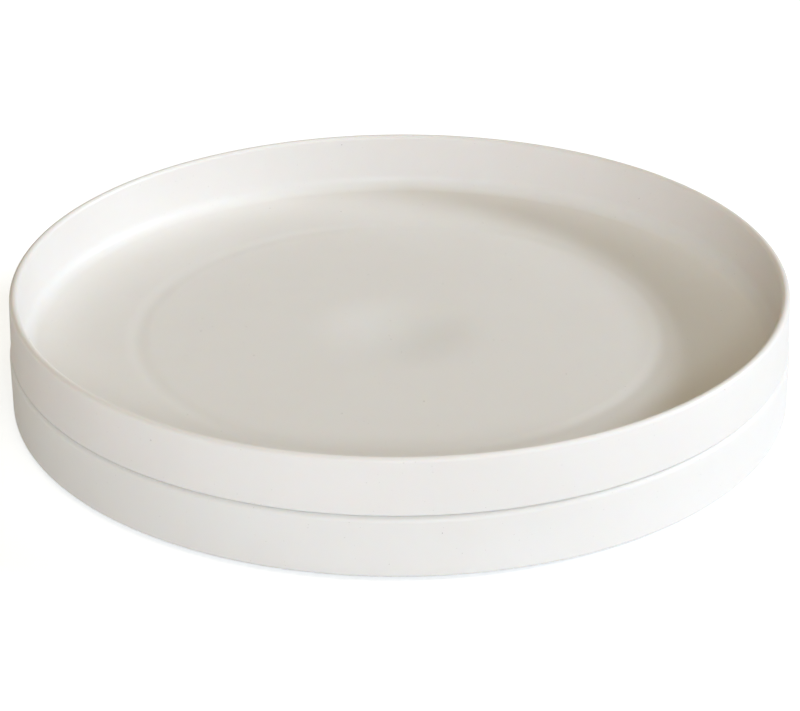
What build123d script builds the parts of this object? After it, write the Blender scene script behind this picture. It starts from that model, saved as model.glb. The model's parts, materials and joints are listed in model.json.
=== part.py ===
"""Lazy susan turntable: a shallow round tray that turns on a matching round base.

Both mouldings are dishes of one diameter, so the closed object is a plain drum with a fine
parting line at half its height. The floor of the tray hangs inside the rim of the base. A ring
of steel balls in a nylon cage runs between two pressed steel races, one under the tray and one
on the base, and a shoulder screw through the hub holds the two halves together.

Frame: millimetres, +Z up and along the turning axis, origin on the resting surface.
"""
import os
from math import cos, radians, sin, sqrt

from build123d import *

# The two visible mouldings
TRAY_RADIUS = 178.0            # outer wall at the rim, a 14 inch turntable
TRAY_EDGE_RADIUS = 178.7       # outer wall at the parting line
BASE_RADIUS = 179.4            # the base stands a little proud of the tray
TRAY_WALL = 4.0                # thickness of the tray's wall, which has a full round rim
BASE_WALL = 3.8
FOOT_STANDOFF = 1.5            # how far the feet hold the base off the table
BASE_HEIGHT = 28.0             # lower edge to rim of the base
PARTING_GAP = 0.3              # running gap between the rim of the base and the tray
TRAY_SIDE = 25.9               # visible side of the tray, from the parting line to its rim
TRAY_DEPTH = 28.0              # rim of the tray down to its floor
TRAY_FLOOR = 4.0               # thickness of the tray's floor
DRAFT = 0.5                    # how far the tray's inner wall leans in from rim to floor
COVE_RADIUS = 7.0              # inside curve between the tray's floor and its wall
SPIGOT_RADIUS = 175.0          # the tray's lower part, which hangs inside the rim of the base
SPIGOT_ROUND = 3.0
TRAY_EDGE_ROUND = 1.0
BASE_RIM_ROUND = 2.8           # outer round of the base at its rim, which makes the parting line soft
BASE_EDGE_ROUND = 1.5          # outer round of the base at its lower edge
BASE_INNER_ROUND = 0.6
BASE_COVE = 5.0
BASE_FLOOR = 3.5               # thickness of the base's floor
BASE_RECESS = 1.5              # the underside lies this far above the lower edge
BASE_LIP = 6.0                 # width of the lower edge around that recess

# Shallow marks on the tray's floor: a dished middle over the boss, and a ring over the race
DIMPLE_RADIUS = 43.0
DIMPLE_DEPTH = 2.5
SINK_RING_HALF_WIDTH = 6.5
SINK_RING_DEPTH = 0.4

# Ball race
BALL_COUNT = 24
BALL_RADIUS = 3.0
PITCH_RADIUS = 121.5           # circle that the ball centres run on
BALL_CLEARANCE = 0.05
RACE_SHEET = 1.2               # thickness of the pressed steel
RACE_HALF_WIDTH = 13.0
FLANGE_GAP = 1.2               # ball centre to each flange
CAGE_THICKNESS = 1.6
CAGE_HALF_WIDTH = 5.5
POCKET_CLEARANCE = 0.1
RIB = 2.5                      # thickness of the ring ribs that carry the races
RIB_OFFSET = 9.5               # middle of each ring rib, from the ball circle

# Screws that hold the races
RACE_SCREWS = 6
UPPER_SCREW_TURN = 30.0        # the upper screws sit between the lower ones
SCREW_RADIUS = 1.5
SCREW_LENGTH = 6.5
PAN_HEAD_RADIUS = 2.8
PAN_HEAD_HEIGHT = 0.8
PAN_HEAD_ROUND = 0.4
CROSS_LENGTH = 3.0
CROSS_WIDTH = 0.7
CROSS_DEPTH = 0.5
SCREW_BOSS_RADIUS = 3.6

# Pivot
HUB_RADIUS = 15.0
HUB_TOP = 15.0
COUNTERBORE_RADIUS = 11.5
COUNTERBORE_TOP = 9.0
SHOULDER_RADIUS = 4.0
SHOULDER_CLEARANCE = 0.05
BUSH_RADIUS = 6.0
BUSH_FLANGE_RADIUS = 9.0
BUSH_FLANGE = 1.2
TRAY_BOSS_RADIUS = 10.0
TRAY_BOSS_GAP = 0.3            # boss of the tray to the flange of the bush
THREAD_RADIUS = 2.5
THREAD_LENGTH = 5.0
INSERT_RADIUS = 3.6
INSERT_LENGTH = 6.0
INSERT_GROOVE = 0.4
INSERT_GROOVE_WIDTH = 1.0
SCREW_HEAD_RADIUS = 8.0
SCREW_HEAD = 2.8
SCREW_HEAD_CHAMFER = 0.5
HEX_ACROSS_FLATS = 4.0
HEX_DEPTH = 1.8
WASHER_RADIUS = 9.5
WASHER = 0.8
WASHER_PLAY = 0.3
CAP_DISC = 1.2
CAP_SKIRT = 2.3
CAP_SKIRT_WALL = 1.2
CAP_CHAMFER = 0.3

# Feet
FOOT_COUNT = 6
FOOT_CIRCLE = 152.0
FOOT_RADIUS = 9.0
FOOT_ROUND = 0.8
FOOT_STEM_RADIUS = 2.5
FOOT_BARB_RADIUS = 3.6
FOOT_BARB_TIP = 2.0
FOOT_BARB_HEIGHT = 3.0

# Stiffening ribs on the floor of the base
RADIAL_RIBS = 12
RADIAL_RIB_THICKNESS = 2.0
RADIAL_RIB_HEIGHT = 4.0
WELD = 1.0                     # how far a rib runs into the wall that it stiffens

# Heights that follow
base_bottom = FOOT_STANDOFF
base_rim = base_bottom + BASE_HEIGHT
base_under = base_bottom + BASE_RECESS
base_floor = base_under + BASE_FLOOR
tray_edge = base_rim + PARTING_GAP
tray_rim = tray_edge + TRAY_SIDE
tray_floor = tray_rim - TRAY_DEPTH
tray_under = tray_floor - TRAY_FLOOR
ball_height = (base_floor + tray_under) / 2
seat = FLANGE_GAP + RACE_SHEET            # ball centre to the seat of each race
boss_bottom = HUB_TOP + BUSH_FLANGE + TRAY_BOSS_GAP
screw_head_top = COUNTERBORE_TOP - WASHER_PLAY - WASHER
screw_circle = PITCH_RADIUS + RIB_OFFSET
base_inner = BASE_RADIUS - BASE_WALL


def turned(edges):
    """The solid that a closed outline of radius and height sweeps about Z."""
    return revolve(Plane.XZ * make_face(edges), Axis.Z)


def path(*points):
    """Straight edges from point to point."""
    return [Line(a, b) for a, b in zip(points, points[1:])]


def bend(start, end, centre):
    """A quarter circle from start to end about its centre."""
    radius = sqrt((start[0] - centre[0]) ** 2 + (start[1] - centre[1]) ** 2)
    middle = Vector(start[0] + end[0] - 2 * centre[0], start[1] + end[1] - 2 * centre[1])
    middle = middle.normalized() * radius + Vector(*centre)
    return [ThreePointArc(start, middle, end)]


def ring(inner, outer, bottom, top):
    """A plain ring about Z."""
    return turned(path((inner, bottom), (outer, bottom), (outer, top), (inner, top), (inner, bottom)))


def pin(radius, bottom, top, x=0.0, y=0.0):
    """A plain upright cylinder."""
    upright = (Align.CENTER, Align.CENTER, Align.MIN)
    return Pos(x, y, bottom) * Cylinder(radius, top - bottom, align=upright)


def around(count, radius, start=0.0):
    """Places on a circle, as x and y."""
    for i in range(count):
        angle = radians(start + 360.0 * i / count)
        yield radius * cos(angle), radius * sin(angle)


def screw_places(side):
    """Where the screws of one race are; side is 1 over the balls and -1 under them."""
    return around(RACE_SCREWS, screw_circle, UPPER_SCREW_TURN if side > 0 else 0.0)


def tray_dish():
    """The tray without what hangs under its floor."""
    inner = TRAY_RADIUS - TRAY_WALL
    cove = inner - DRAFT - COVE_RADIUS
    cove_top = tray_floor + COVE_RADIUS
    round_start = tray_rim - TRAY_WALL / 2
    sink_in = PITCH_RADIUS - SINK_RING_HALF_WIDTH
    sink_out = PITCH_RADIUS + SINK_RING_HALF_WIDTH
    level = [(1, 0), (1, 0)]
    dimple = [(0, tray_floor - DIMPLE_DEPTH), (DIMPLE_RADIUS * 0.5, tray_floor - DIMPLE_DEPTH * 0.5),
              (DIMPLE_RADIUS, tray_floor)]
    sink = [(sink_in, tray_floor), (PITCH_RADIUS, tray_floor - SINK_RING_DEPTH), (sink_out, tray_floor)]
    spigot_low = (SPIGOT_RADIUS, tray_under + SPIGOT_ROUND)
    spigot_end = (SPIGOT_RADIUS - SPIGOT_ROUND, tray_under)
    edge_high = (TRAY_EDGE_RADIUS, tray_edge + TRAY_EDGE_ROUND)
    edge_low = (TRAY_EDGE_RADIUS - TRAY_EDGE_ROUND, tray_edge)
    edges = [Spline(dimple, tangents=level), Line((DIMPLE_RADIUS, tray_floor), (sink_in, tray_floor))]
    edges += [Spline(sink, tangents=level), Line((sink_out, tray_floor), (cove, tray_floor))]
    edges += bend((cove, tray_floor), (cove + COVE_RADIUS, cove_top), (cove, cove_top))
    edges += path((cove + COVE_RADIUS, cove_top), (inner, round_start))
    edges += [ThreePointArc((inner, round_start), ((inner + TRAY_RADIUS) / 2, tray_rim),
                            (TRAY_RADIUS, round_start))]
    edges += path((TRAY_RADIUS, round_start), edge_high)
    edges += bend(edge_high, edge_low, (edge_low[0], edge_high[1]))
    edges += path(edge_low, (SPIGOT_RADIUS, tray_edge), spigot_low)
    edges += bend(spigot_low, spigot_end, (spigot_end[0], spigot_low[1]))
    edges += path(spigot_end, (0, tray_under), dimple[0])
    return turned(edges)


def tray():
    """The tray: a shallow dish with ring ribs, screw bosses and a threaded boss underneath."""
    shape = tray_dish()
    for side in (-1, 1):
        middle = PITCH_RADIUS + side * RIB_OFFSET
        shape += ring(middle - RIB / 2, middle + RIB / 2, ball_height + seat, tray_under)
    shape += pin(TRAY_BOSS_RADIUS, boss_bottom, tray_under)
    shape -= pin(INSERT_RADIUS, boss_bottom, boss_bottom + INSERT_LENGTH)
    for x, y in screw_places(1):
        shape += pin(SCREW_BOSS_RADIUS, ball_height + seat, tray_under, x, y)
    for x, y in screw_places(1):
        shape -= pin(SCREW_RADIUS, ball_height + seat, ball_height + FLANGE_GAP + SCREW_LENGTH, x, y)
    return shape


def base_dish():
    """The base with its hub and counterbore, without ribs and holes."""
    lip = BASE_RADIUS - BASE_LIP
    low = base_bottom + BASE_EDGE_ROUND
    high = base_rim - BASE_RIM_ROUND
    edge = BASE_RADIUS - BASE_EDGE_ROUND
    rim_edge = BASE_RADIUS - BASE_RIM_ROUND
    inner_high = base_rim - BASE_INNER_ROUND
    cove = base_inner - BASE_COVE
    edges = path((COUNTERBORE_RADIUS, base_under), (lip, base_under), (lip, base_bottom),
                 (edge, base_bottom))
    edges += bend((edge, base_bottom), (BASE_RADIUS, low), (edge, low))
    edges += path((BASE_RADIUS, low), (BASE_RADIUS, high))
    edges += bend((BASE_RADIUS, high), (rim_edge, base_rim), (rim_edge, high))
    edges += path((rim_edge, base_rim), (base_inner + BASE_INNER_ROUND, base_rim))
    edges += bend((base_inner + BASE_INNER_ROUND, base_rim), (base_inner, inner_high),
                  (base_inner + BASE_INNER_ROUND, inner_high))
    edges += path((base_inner, inner_high), (base_inner, base_floor + BASE_COVE))
    edges += bend((base_inner, base_floor + BASE_COVE), (cove, base_floor),
                  (cove, base_floor + BASE_COVE))
    edges += path((cove, base_floor), (HUB_RADIUS, base_floor), (HUB_RADIUS, HUB_TOP),
                  (BUSH_RADIUS, HUB_TOP), (BUSH_RADIUS, COUNTERBORE_TOP),
                  (COUNTERBORE_RADIUS, COUNTERBORE_TOP), (COUNTERBORE_RADIUS, base_under))
    return turned(edges)


def radial_ribs():
    """Low ribs from the hub to the ring ribs, and on from there to the wall."""
    inner_ring = PITCH_RADIUS - RIB_OFFSET
    outer_ring = PITCH_RADIUS + RIB_OFFSET
    ribs = []
    for i in range(RADIAL_RIBS):
        turn = Rot(0, 0, 360.0 * (i + 0.5) / RADIAL_RIBS)
        for start, end in ((HUB_RADIUS - WELD, inner_ring), (outer_ring, base_inner + WELD)):
            bar = Box(end - start, RADIAL_RIB_THICKNESS, RADIAL_RIB_HEIGHT)
            ribs.append(turn * Pos((start + end) / 2, 0, base_floor + RADIAL_RIB_HEIGHT / 2) * bar)
    return ribs


def base_shell():
    """The base: a dish with a hub, two ring ribs that carry the lower race, and foot holes."""
    shape = base_dish()
    for side in (-1, 1):
        middle = PITCH_RADIUS + side * RIB_OFFSET
        shape += ring(middle - RIB / 2, middle + RIB / 2, base_floor, ball_height - seat)
    for rib in radial_ribs():
        shape += rib
    for x, y in screw_places(-1):
        shape += pin(SCREW_BOSS_RADIUS, base_floor, ball_height - seat, x, y)
    for x, y in screw_places(-1):
        shape -= pin(SCREW_RADIUS, ball_height - FLANGE_GAP - SCREW_LENGTH, ball_height - seat, x, y)
    for x, y in around(FOOT_COUNT, FOOT_CIRCLE):
        shape -= pin(FOOT_STEM_RADIUS, base_under, base_floor, x, y)
    return shape


def race(side):
    """A pressed ring with a ball groove; side is 1 over the balls and -1 under them."""
    groove = BALL_RADIUS + BALL_CLEARANCE
    back = groove + RACE_SHEET
    groove_half = sqrt(groove ** 2 - FLANGE_GAP ** 2)
    back_half = sqrt(back ** 2 - seat ** 2)
    near = ball_height + side * FLANGE_GAP
    far = ball_height + side * seat
    left = PITCH_RADIUS - RACE_HALF_WIDTH
    right = PITCH_RADIUS + RACE_HALF_WIDTH
    edges = path((PITCH_RADIUS - groove_half, near), (left, near), (left, far),
                 (PITCH_RADIUS - back_half, far))
    edges += [ThreePointArc((PITCH_RADIUS - back_half, far), (PITCH_RADIUS, ball_height + side * back),
                            (PITCH_RADIUS + back_half, far))]
    edges += path((PITCH_RADIUS + back_half, far), (right, far), (right, near),
                  (PITCH_RADIUS + groove_half, near))
    edges += [ThreePointArc((PITCH_RADIUS + groove_half, near),
                            (PITCH_RADIUS, ball_height + side * groove),
                            (PITCH_RADIUS - groove_half, near))]
    shape = turned(edges)
    for x, y in screw_places(side):
        shape -= pin(SCREW_RADIUS, min(near, far), max(near, far), x, y)
    return shape


def race_screw():
    """One pan head screw, head up, with its seat at height zero."""
    shape = pin(SCREW_RADIUS, -SCREW_LENGTH, 0)
    head = pin(PAN_HEAD_RADIUS, 0, PAN_HEAD_HEIGHT)
    head = fillet(head.edges().group_by(Axis.Z)[-1], PAN_HEAD_ROUND)
    shape += head
    for turn in (0, 90):
        slot = Box(CROSS_LENGTH, CROSS_WIDTH, 2 * CROSS_DEPTH)
        shape -= Pos(0, 0, PAN_HEAD_HEIGHT) * Rot(0, 0, turn) * slot
    return shape


def race_screws(side):
    """The screws of one race, which lie with their heads in the gap between the races."""
    screw = race_screw()
    if side > 0:
        screw = Rot(180, 0, 0) * screw
    height = ball_height + side * FLANGE_GAP
    return Compound(children=[Pos(x, y, height) * screw for x, y in screw_places(side)])


def cage():
    """The nylon ring that spaces the balls; each pocket is part of a sphere, so it holds its ball."""
    half = CAGE_THICKNESS / 2
    shape = ring(PITCH_RADIUS - CAGE_HALF_WIDTH, PITCH_RADIUS + CAGE_HALF_WIDTH,
                 ball_height - half, ball_height + half)
    for x, y in around(BALL_COUNT, PITCH_RADIUS):
        shape -= Pos(x, y, ball_height) * Sphere(BALL_RADIUS + POCKET_CLEARANCE)
    return shape


def hub_bush():
    """The flanged bearing bush in the hub."""
    bore = SHOULDER_RADIUS + SHOULDER_CLEARANCE
    top = HUB_TOP + BUSH_FLANGE
    return turned(path((bore, COUNTERBORE_TOP), (BUSH_RADIUS, COUNTERBORE_TOP), (BUSH_RADIUS, HUB_TOP),
                       (BUSH_FLANGE_RADIUS, HUB_TOP), (BUSH_FLANGE_RADIUS, top), (bore, top),
                       (bore, COUNTERBORE_TOP)))


def pivot_screw():
    """The shoulder screw, from below through the hub into the tray, with a hexagon socket."""
    bottom = screw_head_top - SCREW_HEAD
    chamfer_radius = SCREW_HEAD_RADIUS - SCREW_HEAD_CHAMFER
    thread_top = boss_bottom + THREAD_LENGTH
    shape = turned(path((0, bottom), (chamfer_radius, bottom),
                        (SCREW_HEAD_RADIUS, bottom + SCREW_HEAD_CHAMFER),
                        (SCREW_HEAD_RADIUS, screw_head_top), (SHOULDER_RADIUS, screw_head_top),
                        (SHOULDER_RADIUS, boss_bottom), (THREAD_RADIUS, boss_bottom),
                        (THREAD_RADIUS, thread_top), (0, thread_top), (0, bottom)))
    socket = extrude(RegularPolygon(HEX_ACROSS_FLATS / 2, 6, major_radius=False), HEX_DEPTH)
    return shape - Pos(0, 0, bottom) * socket


def thread_insert():
    """The brass insert in the boss of the tray, with two grooves that the plastic grips."""
    shape = ring(THREAD_RADIUS, INSERT_RADIUS, boss_bottom, boss_bottom + INSERT_LENGTH)
    for share in (1 / 3, 2 / 3):
        low = boss_bottom + INSERT_LENGTH * share - INSERT_GROOVE_WIDTH / 2
        shape -= ring(INSERT_RADIUS - INSERT_GROOVE, INSERT_RADIUS + 1, low, low + INSERT_GROOVE_WIDTH)
    return shape


def thrust_washer():
    """The washer on the head of the pivot screw."""
    return ring(SHOULDER_RADIUS, WASHER_RADIUS, screw_head_top, screw_head_top + WASHER)


def pivot_cap():
    """The push-in cap over the pivot screw: a disc with a skirt that grips the counterbore."""
    skirt_inner = COUNTERBORE_RADIUS - CAP_SKIRT_WALL
    disc_top = base_under + CAP_DISC
    return turned(path((0, base_under), (COUNTERBORE_RADIUS - CAP_CHAMFER, base_under),
                       (COUNTERBORE_RADIUS, base_under + CAP_CHAMFER),
                       (COUNTERBORE_RADIUS, disc_top + CAP_SKIRT), (skirt_inner, disc_top + CAP_SKIRT),
                       (skirt_inner, disc_top), (0, disc_top), (0, base_under)))


def foot():
    """A rubber foot: a disc, a stem through the floor of the base, and a barb inside."""
    edge = FOOT_RADIUS - FOOT_ROUND
    barb_top = base_floor + FOOT_BARB_HEIGHT
    edges = path((0, 0), (edge, 0))
    edges += bend((edge, 0), (FOOT_RADIUS, FOOT_ROUND), (edge, FOOT_ROUND))
    edges += path((FOOT_RADIUS, FOOT_ROUND), (FOOT_RADIUS, base_under), (FOOT_STEM_RADIUS, base_under),
                  (FOOT_STEM_RADIUS, base_floor), (FOOT_BARB_RADIUS, base_floor),
                  (FOOT_BARB_TIP, barb_top), (0, barb_top), (0, 0))
    return turned(edges)


def parts():
    """Every sub-part by its name."""
    made = {
        "tray": tray(),
        "base_shell": base_shell(),
        "upper_race": race(1),
        "lower_race": race(-1),
        "upper_race_screws": race_screws(1),
        "lower_race_screws": race_screws(-1),
        "ball_cage": cage(),
        "hub_bush": hub_bush(),
        "pivot_screw": pivot_screw(),
        "thread_insert": thread_insert(),
        "thrust_washer": thrust_washer(),
        "pivot_cap": pivot_cap(),
    }
    for i, (x, y) in enumerate(around(BALL_COUNT, PITCH_RADIUS), 1):
        made[f"ball_{i:02d}"] = Pos(x, y, ball_height) * Sphere(BALL_RADIUS)
    for i, (x, y) in enumerate(around(FOOT_COUNT, FOOT_CIRCLE), 1):
        made[f"foot_{i}"] = Pos(x, y, 0) * foot()
    return made


os.makedirs("parts", exist_ok=True)
for name, shape in parts().items():
    export_step(shape, f"parts/{name}.step")
    print(name, round(shape.volume), "mm3")
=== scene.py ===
# %% [markdown]
# # A lazy susan turntable
#
# A lazy susan is a round tray that turns, so that a dish at the far side comes round to you. This
# one is two mouldings of one diameter: a shallow tray on top and a drum-like base below. Together
# they read as one plain off-white drum with a hairline at half its height. Between them, out of
# sight, a ring of steel balls rolls between two pressed steel races, and a shoulder screw in the
# middle keeps the halves together.
#
# The measured model with all its separate pieces is already there as a frame. This lesson gives it
# its looks: it turns the two mouldings again with fine edges, gives each material its own surface,
# and lights it like a piece of tableware on a pale table.
#
# The first cell loads the frame. Everything after it is in metres, with Z up and the turning axis
# at the origin.

# %% Load the frame
import json
from math import cos, pi, radians, sin

import bmesh
import bpy
from mathutils import Matrix, Vector


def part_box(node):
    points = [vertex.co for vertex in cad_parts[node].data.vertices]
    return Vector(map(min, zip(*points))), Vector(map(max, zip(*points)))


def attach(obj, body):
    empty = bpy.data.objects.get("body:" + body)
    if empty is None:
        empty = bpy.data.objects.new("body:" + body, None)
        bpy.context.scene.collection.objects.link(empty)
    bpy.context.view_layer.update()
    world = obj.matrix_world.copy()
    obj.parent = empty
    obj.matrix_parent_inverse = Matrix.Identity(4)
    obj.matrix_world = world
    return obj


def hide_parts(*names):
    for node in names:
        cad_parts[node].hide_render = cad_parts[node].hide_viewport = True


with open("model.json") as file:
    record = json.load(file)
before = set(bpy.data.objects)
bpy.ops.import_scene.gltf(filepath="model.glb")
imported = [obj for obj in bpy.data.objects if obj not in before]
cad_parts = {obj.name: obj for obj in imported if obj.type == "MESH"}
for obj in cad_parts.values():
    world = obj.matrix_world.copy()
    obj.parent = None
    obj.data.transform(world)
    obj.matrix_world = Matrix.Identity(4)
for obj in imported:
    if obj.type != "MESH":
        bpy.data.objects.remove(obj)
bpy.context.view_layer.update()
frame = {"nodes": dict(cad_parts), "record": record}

# %% [markdown]
# ## Sizes
#
# The heights and radii that matter are read off the frame, so that the turned pieces land exactly
# where the measured ones are. What a box can't tell, such as a wall's thickness or the radius of a
# corner, is named in millimetres and turned into metres by one factor. The values that both
# mouldings share come first, and each moulding's own stand beside its outline.

# %% Sizes taken from the frame
MM = 0.001
tray_edge_radius, _, rim_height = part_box("tray")[1]
base_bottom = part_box("base_shell")[0][2]
base_radius, _, parting_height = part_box("base_shell")[1]
insert_low, insert_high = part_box("thread_insert")
bush_low, bush_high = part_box("hub_bush")
cap_low, cap_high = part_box("pivot_cap")
upper_race_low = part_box("upper_race")[0][2]
lower_race_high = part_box("lower_race")[1][2]
print(f"drum: {2000 * base_radius:.1f} mm across, {1000 * rim_height:.1f} mm high")

# %% Sizes that both mouldings share
BALL_CIRCLE = 121.5 * MM
RACE_SHEET = 1.2 * MM
RIB = 2.5 * MM
RIB_OFFSET = 9.5 * MM
RACE_SCREWS = 6
SCREW_CIRCLE = BALL_CIRCLE + RIB_OFFSET
SCREW_BOSS_RADIUS = 3.6 * MM
SCREW_HOLE_RADIUS = 1.5 * MM
SCREW_HOLE_DEPTH = 5.3 * MM
OVERLAP = 0.5 * MM

upper_seat = upper_race_low + RACE_SHEET
lower_seat = lower_race_high - RACE_SHEET
print(f"the races sit at {1000 * lower_seat:.1f} and {1000 * upper_seat:.1f} mm")

# %% [markdown]
# ## Turning a body from an outline
#
# Everything here that shows is round, so each piece is one outline turned about the Z axis. There
# are three usual ways. A Screw modifier on an outline is quick but leaves a seam and a pole of
# doubled points on the axis. A primitive cylinder with bevels can't have a real cove or a dimple.
# Building the rings by hand takes a dozen lines and gives full control, with one shared point where
# the outline meets the axis, so this is how it is done.
#
# An outline is a list of radius and height. Straight runs are just their ends, and round stretches
# are sampled by `bend`, which walks from one angle to another about a centre. Both mouldings have
# the same two ring ribs, so these get a helper too.

# %% Helpers for outlines
SEGMENTS = 360
ON_AXIS = 1e-7


def bend(centre, radius, start, end, steps):
    """Points on a round stretch of an outline. Angles are in degrees: 0 is outwards, 90 is up."""
    points = []
    for i in range(steps + 1):
        angle = radians(start + (end - start) * i / steps)
        points.append((centre[0] + radius * cos(angle), centre[1] + radius * sin(angle)))
    return points


def ease(share):
    """A smooth step from 0 to 1 with level ends."""
    return 0.5 - 0.5 * cos(pi * share)


def ring_ribs(root, seat):
    """Points of the two ring ribs that stand beside the ball circle, from root to seat."""
    points = []
    for middle in (BALL_CIRCLE + RIB_OFFSET, BALL_CIRCLE - RIB_OFFSET):
        outer, inner = middle + RIB / 2, middle - RIB / 2
        points += [(outer, root), (outer, seat), (inner, seat), (inner, root)]
    return points


def turn_body(name, outline, segments=SEGMENTS):
    """A closed mesh from an outline of radius and height, turned about Z."""
    points = []
    rings = []
    for radius, height in outline:
        if radius < ON_AXIS:
            rings.append([len(points)])
            points.append((0.0, 0.0, height))
            continue
        rings.append(list(range(len(points), len(points) + segments)))
        for i in range(segments):
            angle = 2 * pi * i / segments
            points.append((radius * cos(angle), radius * sin(angle), height))
    faces = []
    on_axis = len(rings[0]) == 1
    pairs = list(zip(rings, rings[1:]))
    if not on_axis:
        pairs.append((rings[-1], rings[0]))
    for lower, upper in pairs:
        for i in range(segments):
            j = (i + 1) % segments
            if len(lower) == 1:
                faces.append((lower[0], upper[j], upper[i]))
            elif len(upper) == 1:
                faces.append((lower[i], lower[j], upper[0]))
            else:
                faces.append((lower[i], lower[j], upper[j], upper[i]))
    mesh = bpy.data.meshes.new(name)
    mesh.from_pydata(points, [], faces)
    mesh.validate()
    body = bpy.data.objects.new(name, mesh)
    bpy.context.scene.collection.objects.link(body)
    return body


print("outline helper ready:", SEGMENTS, "steps to a turn")

# %% [markdown]
# ## Joining and drilling
#
# Under the floors sit small posts and holes that aren't round about the axis. They are made as
# plain cylinders and bars and then welded on or cut out with an exact Boolean. The result is one
# closed skin, as the real moulding is, not a pile of shapes that run through each other.

# %% Helpers for posts, bars, welds and cuts
MERGE_DISTANCE = 0.001 * MM


def post(radius, bottom, top, x, y, steps=48):
    """An upright cylinder."""
    outline = [(0, bottom), (radius, bottom), (radius, top), (0, top)]
    body = turn_body("post", outline, steps)
    body.location = (x, y, 0)
    return body


def bar(start, end, width, bottom, top, angle):
    """A bar that lies along a radius."""
    corners = []
    for z in (bottom, top):
        corners += [(start, -width / 2, z), (end, -width / 2, z)]
        corners += [(end, width / 2, z), (start, width / 2, z)]
    faces = [(3, 2, 1, 0), (4, 5, 6, 7), (0, 1, 5, 4)]
    faces += [(1, 2, 6, 5), (2, 3, 7, 6), (3, 0, 4, 7)]
    mesh = bpy.data.meshes.new("bar")
    mesh.from_pydata(corners, [], faces)
    body = bpy.data.objects.new("bar", mesh)
    bpy.context.scene.collection.objects.link(body)
    body.rotation_euler = (0, 0, angle)
    return body


def discard(bodies):
    """Removes bodies that were only tools."""
    for body in bodies:
        bpy.data.objects.remove(body)


def merge_close(mesh):
    """Merges points that lie on top of each other, which a Boolean leaves where faces meet."""
    work = bmesh.new()
    work.from_mesh(mesh)
    bmesh.ops.remove_doubles(work, verts=work.verts, dist=MERGE_DISTANCE)
    bmesh.ops.dissolve_degenerate(work, edges=work.edges, dist=MERGE_DISTANCE)
    work.to_mesh(mesh)
    work.free()


def combine(body, others, operation):
    """Welds other bodies on (UNION) or cuts them out (DIFFERENCE), and removes them."""
    group = bpy.data.collections.new("tools")
    for other in others:
        group.objects.link(other)
    step = body.modifiers.new("combine", "BOOLEAN")
    step.operation = operation
    step.operand_type = "COLLECTION"
    step.collection = group
    step.solver = "EXACT"
    bpy.context.view_layer.update()
    view = body.evaluated_get(bpy.context.evaluated_depsgraph_get())
    result = bpy.data.meshes.new_from_object(view)
    merge_close(result)
    body.modifiers.clear()
    body.data = result
    bpy.data.collections.remove(group)
    discard(others)


def weld_and_drill(body, additions, holes):
    """Welds the additions on and cuts the holes out."""
    combine(body, additions, "UNION")
    combine(body, holes, "DIFFERENCE")


def around(count, radius, start=0.0):
    """Places on a circle, as x and y."""
    for i in range(count):
        angle = radians(start + 360.0 * i / count)
        yield radius * cos(angle), radius * sin(angle)


def soften(body, sharp_angle=32.0):
    """Smooth shading that stays crisp where two faces meet at a real edge."""
    body.data.polygons.foreach_set("use_smooth", [True] * len(body.data.polygons))
    body.data.set_sharp_from_angle(angle=radians(sharp_angle))
    body.data.update()


print("weld and cut helpers ready")

# %% [markdown]
# ## The tray
#
# The tray is what you see first: a wall that ends in a full round rim, a small cove at its foot,
# and a wide floor. Two shallow marks give away what is under the floor: a ring over the ball race,
# two thirds of the way out, and a dished middle over the boss. The ring is only four tenths of
# a millimetre deep, but light from the side draws it. Both marks are modelled, not painted, so that
# they answer to any light.
#
# The outline starts on the axis, at the bottom of the dished middle, and runs out over the floor,
# up the wall, over the rim and down outside, and back under the floor to the axis.

# %% Sizes of the tray
TRAY_RADIUS = 178.0 * MM
TRAY_WALL = 4.0 * MM
TRAY_DEPTH = 28.0 * MM
TRAY_FLOOR = 4.0 * MM
DRAFT = 0.5 * MM
COVE_RADIUS = 7.0 * MM
SPIGOT_RADIUS = 175.0 * MM
SPIGOT_ROUND = 3.0 * MM
PARTING_GAP = 0.3 * MM
TRAY_EDGE_ROUND = 1.0 * MM
SINK_RING_HALF_WIDTH = 6.5 * MM
SINK_RING_DEPTH = 0.4 * MM
DIMPLE_RADIUS = 43.0 * MM
DIMPLE_DEPTH = 2.5 * MM
TRAY_BOSS_RADIUS = 10.0 * MM
BOSS_START = 30

tray_edge = parting_height + PARTING_GAP
tray_floor = rim_height - TRAY_DEPTH
tray_under = tray_floor - TRAY_FLOOR
tray_inner = TRAY_RADIUS - TRAY_WALL
print(f"parting line at {1000 * parting_height:.1f} mm, tray floor at {1000 * tray_floor:.1f} mm")

# %% Outline of the tray
DIMPLE_STEPS = 24
RING_STEPS = 12


def dimple_height(radius):
    """Height of the floor inside the dimple."""
    return tray_floor - DIMPLE_DEPTH * (1 - ease(min(radius / DIMPLE_RADIUS, 1)))


def sink_height(offset):
    """Height of the floor near the ring mark, at an offset from the ball circle."""
    return tray_floor - SINK_RING_DEPTH * (1 - ease(min(abs(offset) / SINK_RING_HALF_WIDTH, 1)))


cove_radius = tray_inner - DRAFT - COVE_RADIUS
round_start = rim_height - TRAY_WALL / 2
edge_centre = (tray_edge_radius - TRAY_EDGE_ROUND, tray_edge + TRAY_EDGE_ROUND)
spigot_centre = (SPIGOT_RADIUS - SPIGOT_ROUND, tray_under + SPIGOT_ROUND)

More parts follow.
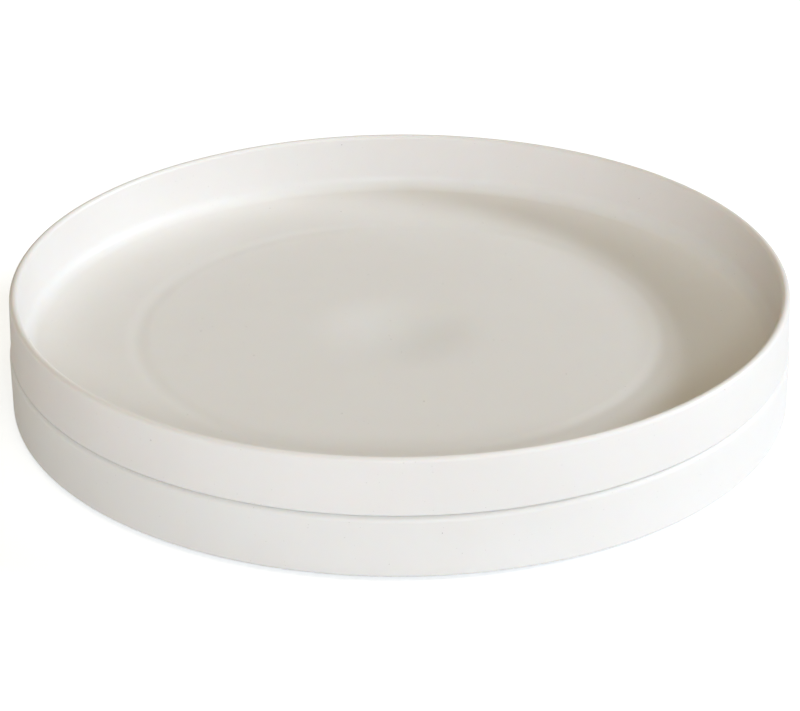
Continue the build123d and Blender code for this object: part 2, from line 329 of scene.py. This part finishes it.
tray_outline = []
for i in range(DIMPLE_STEPS + 1):
    radius = DIMPLE_RADIUS * i / DIMPLE_STEPS
    tray_outline.append((radius, dimple_height(radius)))
for i in range(-RING_STEPS, RING_STEPS + 1):
    offset = SINK_RING_HALF_WIDTH * i / RING_STEPS
    tray_outline.append((BALL_CIRCLE + offset, sink_height(offset)))
tray_outline += bend((cove_radius, tray_floor + COVE_RADIUS), COVE_RADIUS, -90, 0, 16)
tray_outline += bend((tray_inner + TRAY_WALL / 2, round_start), TRAY_WALL / 2, 180, 0, 20)
tray_outline += bend(edge_centre, TRAY_EDGE_ROUND, 0, -90, 6)
tray_outline += [(SPIGOT_RADIUS, tray_edge)]
tray_outline += bend(spigot_centre, SPIGOT_ROUND, 0, -90, 8)
tray_outline += ring_ribs(tray_under, upper_seat)
tray_outline += [(TRAY_BOSS_RADIUS, tray_under), (TRAY_BOSS_RADIUS, insert_low[2])]
tray_outline += [(insert_high[0], insert_low[2]), (insert_high[0], insert_high[2])]
tray_outline += [(0, insert_high[2])]
tray_outline.reverse()
print("tray outline:", len(tray_outline), "points")

# %% Turn the tray, add its screw bosses and drill them
tray = turn_body("tray_moulding", tray_outline)
bosses = []
holes = []
for x, y in around(RACE_SCREWS, SCREW_CIRCLE, BOSS_START):
    bosses.append(post(SCREW_BOSS_RADIUS, upper_seat, tray_under + OVERLAP, x, y))
    hole_end = upper_seat + SCREW_HOLE_DEPTH
    holes.append(post(SCREW_HOLE_RADIUS, upper_seat - OVERLAP, hole_end, x, y))
weld_and_drill(tray, bosses, holes)
soften(tray)
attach(tray, "turntable")
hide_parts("tray")
print("tray:", len(tray.data.vertices), "points,", len(tray.data.polygons), "faces")

# %% [markdown]
# ## The base
#
# The base is the same kind of dish turned the same way up, with the tray's lower part hanging
# inside its rim. Its outer wall stands a hair proud of the tray, and its rim has a softer corner, so
# the parting line reads as a soft groove with a bright line along its lower edge. Underneath, the
# floor is set back from a narrow standing lip, with a well in the middle for the pivot screw.
#
# Inside are the parts nobody sees: two ring ribs that carry the lower race, low radial ribs that
# keep the floor stiff, screw bosses, and a hub. They are part of the moulding, so they are made
# here too.

# %% Sizes of the base
BASE_WALL = 3.8 * MM
BASE_RIM_ROUND = 2.8 * MM
BASE_EDGE_ROUND = 1.5 * MM
BASE_INNER_ROUND = 0.6 * MM
BASE_COVE = 5.0 * MM
BASE_FLOOR = 3.5 * MM
BASE_LIP = 6.0 * MM
RADIAL_RIBS = 12
RADIAL_RIB_THICKNESS = 2.0 * MM
RADIAL_RIB_HEIGHT = 4.0 * MM
HUB_RADIUS = 15.0 * MM
BUSH_RADIUS = 6.0 * MM
BUSH_FLANGE = 1.2 * MM
FOOT_COUNT = 6
FOOT_CIRCLE = 152.0 * MM
FOOT_STEM_RADIUS = 2.5 * MM

hub_top = bush_high[2] - BUSH_FLANGE
base_under = cap_low[2]
base_floor = base_under + BASE_FLOOR
base_inner = base_radius - BASE_WALL
print(f"base floor at {1000 * base_floor:.1f} mm, hub top at {1000 * hub_top:.1f} mm")

# %% Outline of the base
lip_radius = base_radius - BASE_LIP
lower_edge_centre = (base_radius - BASE_EDGE_ROUND, base_bottom + BASE_EDGE_ROUND)
rim_outer_centre = (base_radius - BASE_RIM_ROUND, parting_height - BASE_RIM_ROUND)
rim_inner_centre = (base_inner + BASE_INNER_ROUND, parting_height - BASE_INNER_ROUND)
cove_centre = (base_inner - BASE_COVE, base_floor + BASE_COVE)

base_outline = [(cap_high[0], base_under), (lip_radius, base_under), (lip_radius, base_bottom)]
base_outline += bend(lower_edge_centre, BASE_EDGE_ROUND, -90, 0, 8)
base_outline += bend(rim_outer_centre, BASE_RIM_ROUND, 0, 90, 14)
base_outline += bend(rim_inner_centre, BASE_INNER_ROUND, 90, 180, 5)
base_outline += bend(cove_centre, BASE_COVE, 0, -90, 8)
base_outline += ring_ribs(base_floor, lower_seat)
base_outline += [(HUB_RADIUS, base_floor), (HUB_RADIUS, hub_top), (BUSH_RADIUS, hub_top)]
base_outline += [(BUSH_RADIUS, bush_low[2]), (cap_high[0], bush_low[2])]
print("base outline:", len(base_outline), "points")

# %% Turn the base, then weld the ribs and bosses and drill the holes
base = turn_body("base_moulding", base_outline)
rib_low = base_floor - OVERLAP
rib_high = base_floor + RADIAL_RIB_HEIGHT
inner_run = (HUB_RADIUS - RIB, BALL_CIRCLE - RIB_OFFSET)
outer_run = (BALL_CIRCLE + RIB_OFFSET, base_inner + RIB)
additions = []
for i in range(RADIAL_RIBS):
    angle = 2 * pi * (i + 0.5) / RADIAL_RIBS
    for start, end in (inner_run, outer_run):
        additions.append(bar(start, end, RADIAL_RIB_THICKNESS, rib_low, rib_high, angle))
holes = []
for x, y in around(RACE_SCREWS, SCREW_CIRCLE):
    additions.append(post(SCREW_BOSS_RADIUS, rib_low, lower_seat, x, y))
    hole_end = lower_seat - SCREW_HOLE_DEPTH
    holes.append(post(SCREW_HOLE_RADIUS, hole_end, lower_seat + OVERLAP, x, y))
for x, y in around(FOOT_COUNT, FOOT_CIRCLE):
    holes.append(post(FOOT_STEM_RADIUS, base_under - OVERLAP, base_floor + OVERLAP, x, y))
weld_and_drill(base, additions, holes)
soften(base)
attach(base, "base")
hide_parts("base_shell")
print("base:", len(base.data.vertices), "points,", len(base.data.polygons), "faces")

# %% [markdown]
# ## Materials: helpers
#
# A material is a small graph of nodes. `put` adds one node and wires its inputs in a single call, so
# that a material reads from top to bottom like a recipe. Effects that several materials share are
# node groups with named sliders: specks, fine grain, and rubbed edges. The shader itself always
# stays in the material, and numbers that are the same everywhere sit on its own sockets.

# %% Node helpers


def put(tree, kind, inputs=None, **settings):
    """Adds a node. Inputs are plain values or outputs of other nodes, by name or number."""
    made = tree.nodes.new(kind)
    for key, value in settings.items():
        setattr(made, key, value)
    for key, value in (inputs or {}).items():
        if isinstance(value, bpy.types.NodeSocket):
            tree.links.new(value, made.inputs[key])
        else:
            made.inputs[key].default_value = value
    return made


def put_math(tree, operation, first, second, third=0.0):
    """A Math node, by its operation, and its result."""
    inputs = {0: first, 1: second, 2: third}
    return put(tree, "ShaderNodeMath", inputs, operation=operation).outputs[0]


def put_vector(tree, operation, first, second):
    """A Vector Math node, by its operation, and its result."""
    inputs = {0: first, 1: second}
    return put(tree, "ShaderNodeVectorMath", inputs, operation=operation).outputs[0]


def put_noise(tree, place, scale, detail, roughness=0.5):
    """A Noise texture and its grey value."""
    inputs = {"Vector": place, "Scale": scale, "Detail": detail, "Roughness": roughness}
    return put(tree, "ShaderNodeTexNoise", inputs).outputs[0]


def put_range(tree, value, low, high, to_low=0.0, to_high=1.0):
    """A soft step: value runs from low to high, and the result from to_low to to_high."""
    inputs = {"Value": value, "From Min": low, "From Max": high}
    inputs.update({"To Min": to_low, "To Max": to_high})
    return put(tree, "ShaderNodeMapRange", inputs, interpolation_type="SMOOTHSTEP").outputs[0]


def put_mix(tree, share, first, second):
    """Mixes two colours."""
    inputs = {0: share, 6: first, 7: second}
    return put(tree, "ShaderNodeMix", inputs, data_type="RGBA").outputs[2]


def new_group(name, inputs, outputs):
    """An empty shader node group with number sliders and the named outputs."""
    tree = bpy.data.node_groups.new(name, "ShaderNodeTree")
    for label, value in inputs.items():
        slider = tree.interface.new_socket(label, in_out="INPUT", socket_type="NodeSocketFloat")
        slider.default_value = value
    for label in outputs:
        tree.interface.new_socket(label, in_out="OUTPUT", socket_type="NodeSocketFloat")
    entry = tree.nodes.new("NodeGroupInput").outputs
    leave = tree.nodes.new("NodeGroupOutput").inputs
    return tree, entry, leave


def use_group(tree, group, **sliders):
    """Places a group in a material with its own slider values, and returns its outputs."""
    made = tree.nodes.new("ShaderNodeGroup")
    made.node_tree = group
    for label, value in sliders.items():
        made.inputs[label.replace("_", " ")].default_value = value
    return made.outputs


def new_material(name, color, roughness, **sockets):
    """A material with one Principled shader; sockets are set on the shader itself."""
    material = bpy.data.materials.new(name)
    material.use_nodes = True
    material.diffuse_color = (*color, 1.0)
    tree = material.node_tree
    shader = tree.nodes["Principled BSDF"]
    shader.inputs["Base Color"].default_value = (*color, 1.0)
    shader.inputs["Roughness"].default_value = roughness
    for label, value in sockets.items():
        shader.inputs[label.replace("_", " ")].default_value = value
    return material, tree, shader


def wire(tree, value, shader, label):
    """Connects a result to one of the shader's inputs."""
    tree.links.new(value, shader.inputs[label])


def put_bump(tree, height, strength, depth):
    """A Bump node: depth in metres is how far the grain stands up."""
    inputs = {"Height": height, "Strength": strength, "Distance": depth}
    return put(tree, "ShaderNodeBump", inputs).outputs[0]


print("node helpers ready")

# %% [markdown]
# ## Shared effect: specks
#
# Speckled tableware has tiny darker grains all through its body. An image of dots would stretch on
# the walls and repeat. A Voronoi texture in three dimensions scatters one point in every cell of
# space instead, and a grain is a small ball about that point. The surface cuts through the balls
# that it meets, so dots come out round, in mixed sizes, and run on over every edge.
#
# Spacing is the size of a cell in metres, Radius the largest grain, and Amount the share of cells
# that have one. A fine noise nudges each point by up to a fifth of a millimetre, so that no grain is
# a perfect circle.

# %% Group: specks
WOBBLE = 0.0004
WOBBLE_SCALE = 1400.0
SMALLEST_GRAIN = 0.3
specks_sliders = {"Spacing": 0.006, "Radius": 0.0004, "Amount": 0.3}
specks, sliders, results = new_group("Specks", specks_sliders, ["Mask"])
place = put(specks, "ShaderNodeTexCoord").outputs["Object"]
noise = put(specks, "ShaderNodeTexNoise", {"Vector": place, "Scale": WOBBLE_SCALE, "Detail": 1.0})
centred = put_vector(specks, "SUBTRACT", noise.outputs["Color"], (0.5, 0.5, 0.5))
nudge = put_vector(specks, "MULTIPLY", centred, (WOBBLE, WOBBLE, WOBBLE))
place = put_vector(specks, "ADD", place, nudge)
cells_per_metre = put_math(specks, "DIVIDE", 1.0, sliders["Spacing"])
cells = put(specks, "ShaderNodeTexVoronoi", {"Vector": place, "Scale": cells_per_metre})
chance = put(specks, "ShaderNodeSeparateColor", {0: cells.outputs["Color"]}).outputs
present = put_math(specks, "LESS_THAN", chance[0], sliders["Amount"])
share = put_math(specks, "MULTIPLY_ADD", chance[1], 1 - SMALLEST_GRAIN, SMALLEST_GRAIN)
size = put_math(specks, "MULTIPLY", share, sliders["Radius"])
reach = put_math(specks, "MULTIPLY", cells.outputs["Distance"], sliders["Spacing"])
inside = put_range(specks, put_math(specks, "DIVIDE", reach, size), 1.0, 0.7)
specks.links.new(put_math(specks, "MULTIPLY", inside, present), results["Mask"])
print("group:", specks.name)

# %% [markdown]
# ## Shared effect: grain
#
# No moulded or plated surface is perfectly even. A fine noise gives the height of the grain for a
# Bump node, and a slow noise a few centimetres across gives patches, for a roughness that drifts a
# little and a colour that isn't dead flat. Both come from one group with sliders for the two sizes.

# %% Group: grain
grain_sliders = {"Fine": 0.0004, "Patches": 0.03}
grain, sliders, results = new_group("Grain", grain_sliders, ["Height", "Patch"])
place = put(grain, "ShaderNodeTexCoord").outputs["Object"]
fine_scale = put_math(grain, "DIVIDE", 1.0, sliders["Fine"])
patch_scale = put_math(grain, "DIVIDE", 1.0, sliders["Patches"])
fine = put_noise(grain, place, fine_scale, 2.0, 0.55)
slow = put_noise(grain, place, patch_scale, 3.0)
grain.links.new(fine, results["Height"])
grain.links.new(put_range(grain, slow, 0.3, 0.7), results["Patch"])
print("group:", grain.name)

# %% [markdown]
# ## Shared effect: rubbed edges
#
# Corners get rubbed first: metal shines there, and plastic goes a touch smoother. Pointiness tells
# how sharply the surface turns, and a noise breaks the line up so that it isn't drawn with a ruler.

# %% Group: rubbed edges
FULLY_RUBBED = 0.62
BREAKUP_SCALE = 250.0
rubbed_sliders = {"Start": 0.52, "Breakup": 0.4}
rubbed, sliders, results = new_group("Rubbed edges", rubbed_sliders, ["Mask"])
turn = put(rubbed, "ShaderNodeNewGeometry").outputs["Pointiness"]
edge = put_range(rubbed, turn, sliders["Start"], FULLY_RUBBED)
place = put(rubbed, "ShaderNodeTexCoord").outputs["Object"]
patchy = put_noise(rubbed, place, BREAKUP_SCALE, 3.0)
gaps = put_math(rubbed, "MULTIPLY", patchy, sliders["Breakup"])
broken = put_math(rubbed, "SUBTRACT", edge, gaps)
rubbed.links.new(put_math(rubbed, "MAXIMUM", broken, 0.0), results["Mask"])
print("group:", rubbed.name)

# %% [markdown]
# ## The speckled off-white shell
#
# Both mouldings are a warm off-white with a soft satin face, more like eggshell than like glaze: a
# broad quiet sheen and no mirror images. A trace of coat puts a fine bright line on the rounded
# edges. The plastic lets a little light through, red further than blue, so the narrow gap at the
# parting line isn't black but a soft grey-brown. The colour is nearly even. A slow patchiness of a
# few per cent keeps the wide floor alive. Sparse brown-grey grains a third of a millimetre in
# radius and a finer, fainter dust of them are mixed in.

# %% Material: speckled shell
SHELL_COLOR = (0.82, 0.795, 0.755)
SHELL_SHADE = (0.80, 0.77, 0.725)
SPECK_COLOR = (0.20, 0.16, 0.12)
SHELL_BLEED = (1.0, 0.6, 0.35)
SHADE_SHARE = 0.6
DUST_SHARE = 0.35
SPECK_SHARE = 0.58
SATIN = 0.46
SATIN_DRIFT = 0.06
RUBBED_CHANGE = -0.1
GRAIN_DEPTH = 0.02 * MM
shell, tree, shader = new_material("Speckled shell", SHELL_COLOR, SATIN, Specular_IOR_Level=0.42,
                                   Coat_Weight=0.05, Coat_Roughness=0.12, Subsurface_Weight=0.25,
                                   Subsurface_Scale=0.005, Subsurface_Radius=SHELL_BLEED)
skin = use_group(tree, grain, Fine=0.0006, Patches=0.05)
coarse = use_group(tree, specks, Spacing=0.0052, Radius=0.00036, Amount=0.34)["Mask"]
dust = use_group(tree, specks, Spacing=0.0024, Radius=0.00022, Amount=0.55)["Mask"]
wear = use_group(tree, rubbed, Start=0.53, Breakup=0.5)["Mask"]
shaded = put_math(tree, "MULTIPLY", skin["Patch"], SHADE_SHARE)
body = put_mix(tree, shaded, (*SHELL_COLOR, 1), (*SHELL_SHADE, 1))
body = put_mix(tree, put_math(tree, "MULTIPLY", dust, DUST_SHARE), body, (*SPECK_COLOR, 1))
body = put_mix(tree, put_math(tree, "MULTIPLY", coarse, SPECK_SHARE), body, (*SPECK_COLOR, 1))
wire(tree, body, shader, "Base Color")
sheen = put_math(tree, "MULTIPLY_ADD", skin["Patch"], SATIN_DRIFT, SATIN - SATIN_DRIFT / 2)
wire(tree, put_math(tree, "MULTIPLY_ADD", wear, RUBBED_CHANGE, sheen), shader, "Roughness")
wire(tree, put_bump(tree, skin["Height"], strength=0.25, depth=GRAIN_DEPTH), shader, "Normal")
for moulding in (tray, base):
    moulding.data.materials.clear()
    moulding.data.materials.append(shell)
print("shell:", len(tree.nodes), "nodes")

# %% [markdown]
# ## Metals
#
# The races are pressed from sheet and zinc plated: bright grey, a little cloudy, with rubbed
# corners. The screws and the washer have the same plating but smaller clouds. The balls are polished
# and carry a thin film of grease. Brass for the insert is turned, so it gets fine rings about the
# axis. One function makes all of them, because they differ in numbers only.

# %% Materials: metals
CLOUD_TONE = 0.86
RUBBED_TONE = 1.1
TURNED_RINGS = 900.0


def metal(name, color, roughness, cloud, patches, lines=0.0, coat=0.0):
    """A metal with cloudy roughness and rubbed edges; lines is the strength of turned rings."""
    made, tree, shader = new_material(name, color, roughness, Metallic=1.0, Coat_Weight=coat)
    skin = use_group(tree, grain, Fine=0.0003, Patches=patches)
    wear = use_group(tree, rubbed, Start=0.53, Breakup=0.5)["Mask"]
    dull = tuple(CLOUD_TONE * part for part in color)
    tone = put_mix(tree, skin["Patch"], (*color, 1), (*dull, 1))
    bright = tuple(min(1.0, RUBBED_TONE * part) for part in color)
    wire(tree, put_mix(tree, wear, tone, (*bright, 1)), shader, "Base Color")
    cloudy = put_math(tree, "MULTIPLY_ADD", skin["Patch"], cloud, roughness)
    wire(tree, put_math(tree, "MULTIPLY_ADD", wear, RUBBED_CHANGE, cloudy), shader, "Roughness")
    height = skin["Height"]
    if lines:
        place = put(tree, "ShaderNodeTexCoord").outputs["Object"]
        inputs = {"Vector": place, "Scale": TURNED_RINGS, "Distortion": 0.6}
        rings = put(tree, "ShaderNodeTexWave", inputs, bands_direction="Z").outputs[1]
        height = put_math(tree, "MULTIPLY_ADD", rings, lines, height)
    wire(tree, put_bump(tree, height, strength=0.3, depth=GRAIN_DEPTH), shader, "Normal")
    return made


plated_steel = metal("Zinc plated sheet", (0.70, 0.71, 0.73),
                     roughness=0.26, cloud=0.14, patches=0.02)
screw_steel = metal("Zinc plated screws", (0.62, 0.63, 0.65),
                    roughness=0.30, cloud=0.12, patches=0.004, lines=0.5)
ball_steel = metal("Polished balls", (0.80, 0.80, 0.82),
                   roughness=0.06, cloud=0.08, patches=0.002, coat=0.3)
brass = metal("Turned brass", (0.80, 0.58, 0.27),
              roughness=0.24, cloud=0.10, patches=0.003, lines=1.0)
print("metals:", [made.name for made in (plated_steel, screw_steel, ball_steel, brass)])

# %% [markdown]
# ## Plastics and rubber
#
# The cage is natural nylon, slightly waxy and yellowish. The bush is dark acetal, which wears shiny.
# The cap is a fine matte moulding in a tone near the shell's. The feet are dark rubber, quite rough,
# and rubber picks up pale dust, so a patchy mask lightens it here and there.

# %% Materials: plastics and rubber
TINT_SHARE = 0.5
PLASTIC_DRIFT = 0.08
PLASTIC_RUBBED_CHANGE = -0.12


def moulded(name, color, shade, roughness, patches, grain_size, depth):
    """A moulded plastic or rubber: two tones in patches, an uneven face and a fine grain."""
    made, tree, shader = new_material(name, color, roughness)
    skin = use_group(tree, grain, Fine=grain_size, Patches=patches)
    wear = use_group(tree, rubbed, Start=0.54, Breakup=0.5)["Mask"]
    share = put_math(tree, "MULTIPLY", skin["Patch"], TINT_SHARE)
    wire(tree, put_mix(tree, share, (*color, 1), (*shade, 1)), shader, "Base Color")
    smoothest = roughness - PLASTIC_DRIFT / 2
    uneven = put_math(tree, "MULTIPLY_ADD", skin["Patch"], PLASTIC_DRIFT, smoothest)
    worn = put_math(tree, "MULTIPLY_ADD", wear, PLASTIC_RUBBED_CHANGE, uneven)
    wire(tree, worn, shader, "Roughness")
    wire(tree, put_bump(tree, skin["Height"], strength=0.4, depth=depth), shader, "Normal")
    return made


nylon = moulded("Natural nylon", (0.84, 0.82, 0.74), (0.78, 0.75, 0.66),
                roughness=0.48, patches=0.012, grain_size=0.0005, depth=0.00003)
bush_plastic = moulded("Dark acetal", (0.03, 0.03, 0.03), (0.04, 0.04, 0.04),
                       roughness=0.36, patches=0.004, grain_size=0.0004, depth=0.00002)
cap_plastic = moulded("Matte cap", (0.62, 0.59, 0.54), (0.58, 0.55, 0.49),
                      roughness=0.55, patches=0.008, grain_size=0.0004, depth=0.00004)
foot_rubber = moulded("Foot rubber", (0.03, 0.03, 0.03), (0.08, 0.08, 0.075),
                      roughness=0.74, patches=0.005, grain_size=0.0005, depth=0.00006)
print("plastics:", [made.name for made in (nylon, bush_plastic, cap_plastic, foot_rubber)])

# %% [markdown]
# ## Dressing the pieces of the frame
#
# The hidden pieces keep the frame's own measured shapes, since only a section or a dismantled model
# shows them. Each gets the material of its slot.

# %% Give each measured piece its material
finishes = {
    "plated_steel": plated_steel,
    "screw_steel": screw_steel,
    "ball_steel": ball_steel,
    "nylon": nylon,
    "bush_plastic": bush_plastic,
    "brass": brass,
    "cap_plastic": cap_plastic,
    "foot_rubber": foot_rubber,
}
dressed = 0
for entry in frame["record"]["subparts"]:
    finish = finishes.get(entry["material_slot"])
    if finish:
        piece = frame["nodes"][entry["node"]]
        piece.data.materials.clear()
        piece.data.materials.append(finish)
        dressed += 1
print("dressed", dressed, "pieces of the frame")

# %% [markdown]
# ## Table and light
#
# The object is pale on pale, so the light has to draw it. One long, low box of light from the right
# gives the soft shadow of the wall across the floor and shades the marks on it. A much larger,
# weaker one from the front opens up the walls, and a third one from above fills the tray. A small
# window in front draws a short bright line on each rounded edge, which tells that the surface is
# satin and not chalk. The world adds an even warm glow, though the backdrop itself looks white, and
# the table is a plain pale sweep that glows a little itself, as a lit table does.

# %% Table
TABLE_REACH = 8.0
TABLE_COLOR = (0.90, 0.90, 0.895)
TABLE_SHADE = (0.885, 0.885, 0.88)
TABLE_GLOW = 0.52
TABLE_GLOW_COLOR = (0.93, 0.97, 1.0)
table_mesh = bpy.data.meshes.new("table")
corners = [(x * TABLE_REACH, y * TABLE_REACH, 0) for x, y in ((-1, -1), (1, -1), (1, 1), (-1, 1))]
table_mesh.from_pydata(corners, [], [(0, 1, 2, 3)])
table = bpy.data.objects.new("table", table_mesh)
bpy.context.scene.collection.objects.link(table)
table_paint, tree, shader = new_material("Pale table", TABLE_COLOR, 0.8)
skin = use_group(tree, grain, Fine=0.002, Patches=0.3)
tone = put_mix(tree, skin["Patch"], (*TABLE_COLOR, 1), (*TABLE_SHADE, 1))
wire(tree, tone, shader, "Base Color")
seen = put(tree, "ShaderNodeLightPath").outputs["Is Camera Ray"]
wire(tree, put_math(tree, "MULTIPLY", seen, TABLE_GLOW), shader, "Emission Strength")
shader.inputs["Emission Color"].default_value = (*TABLE_GLOW_COLOR, 1.0)
table_mesh.materials.append(table_paint)
print("table:", 2 * TABLE_REACH, "m square")

# %% Lights


def soft_box(name, azimuth, elevation, distance, width, height, power, color):
    """A rectangular light that faces the object from an azimuth, 0 being +X and -90 the front."""
    lamp = bpy.data.lights.new(name, "AREA")
    lamp.shape = "RECTANGLE"
    lamp.size = width
    lamp.size_y = height
    lamp.energy = power
    lamp.color = color
    holder = bpy.data.objects.new(name, lamp)
    away = Vector((cos(radians(elevation)) * cos(radians(azimuth)),
                   cos(radians(elevation)) * sin(radians(azimuth)), sin(radians(elevation))))
    holder.location = away * distance
    holder.rotation_euler = away.to_track_quat("Z", "Y").to_euler()
    holder.visible_camera = False
    bpy.context.scene.collection.objects.link(holder)
    return holder


key = soft_box("Key from the right", azimuth=12, elevation=26.5, distance=5.0,
               width=2.7, height=0.83, power=196.7, color=(0.782, 0.865, 1.0))
fill = soft_box("Fill from the front", azimuth=-92, elevation=18, distance=5.0,
                width=5.8, height=2.7, power=120.2, color=(0.784, 0.839, 1.0))
top = soft_box("Glow from above", azimuth=-90, elevation=85, distance=4.0,
               width=3.0, height=3.0, power=29.3, color=(1.0, 0.914, 0.767))
glint = soft_box("Small window in front", azimuth=-86, elevation=24, distance=5.0,
                 width=1.46, height=0.46, power=53.0, color=(0.827, 0.931, 1.0))
print("lights:", [light.name for light in (key, fill, top, glint)])

# %% The world around
WORLD_COLOR = (1.0, 0.843, 0.565)
WORLD_GLOW = 0.236
BACKDROP_COLOR = (0.95, 0.96, 0.97)
BACKDROP_GLOW = 0.95
world = bpy.data.worlds.new("Even glow")
world.use_nodes = True
tree = world.node_tree
glow = tree.nodes["Background"]
seen = put(tree, "ShaderNodeLightPath").outputs["Is Camera Ray"]
tone = put_mix(tree, seen, (*WORLD_COLOR, 1), (*BACKDROP_COLOR, 1))
wire(tree, tone, glow, "Color")
strength = put_range(tree, seen, 0.0, 1.0, WORLD_GLOW, BACKDROP_GLOW)
wire(tree, strength, glow, "Strength")
bpy.context.scene.world = world
bpy.context.scene.view_settings.view_transform = "Standard"
print("world:", len(tree.nodes), "nodes")

# %% [markdown]
# ## Camera
#
# A long lens from a little over a metre keeps the ellipse of the rim calm. The camera looks down at
# about twenty-six degrees, so that both the floor and the side of the drum are seen, and it is
# tipped by a quarter of a degree, as a hand-levelled camera is.

# %% Camera
CAMERA_BACK = 1.0942
CAMERA_OVER_RIM = 0.4963
CAMERA_DOWN = 26.17
CAMERA_TIP = -0.278
FOCAL_LENGTH = 117.7
SENSOR_WIDTH = 36.0
lens = bpy.data.cameras.new("Camera")
lens.lens = FOCAL_LENGTH
lens.sensor_width = SENSOR_WIDTH
camera = bpy.data.objects.new("Camera", lens)
camera.location = (0.0, -CAMERA_BACK, rim_height + CAMERA_OVER_RIM)
tilt = Matrix.Rotation(radians(90 - CAMERA_DOWN), 3, "X")
tip = Matrix.Rotation(radians(CAMERA_TIP), 3, "Z")
camera.rotation_euler = (tilt @ tip).to_euler()
bpy.context.scene.collection.objects.link(camera)
bpy.context.scene.camera = camera
print("camera", [round(value, 4) for value in camera.location])
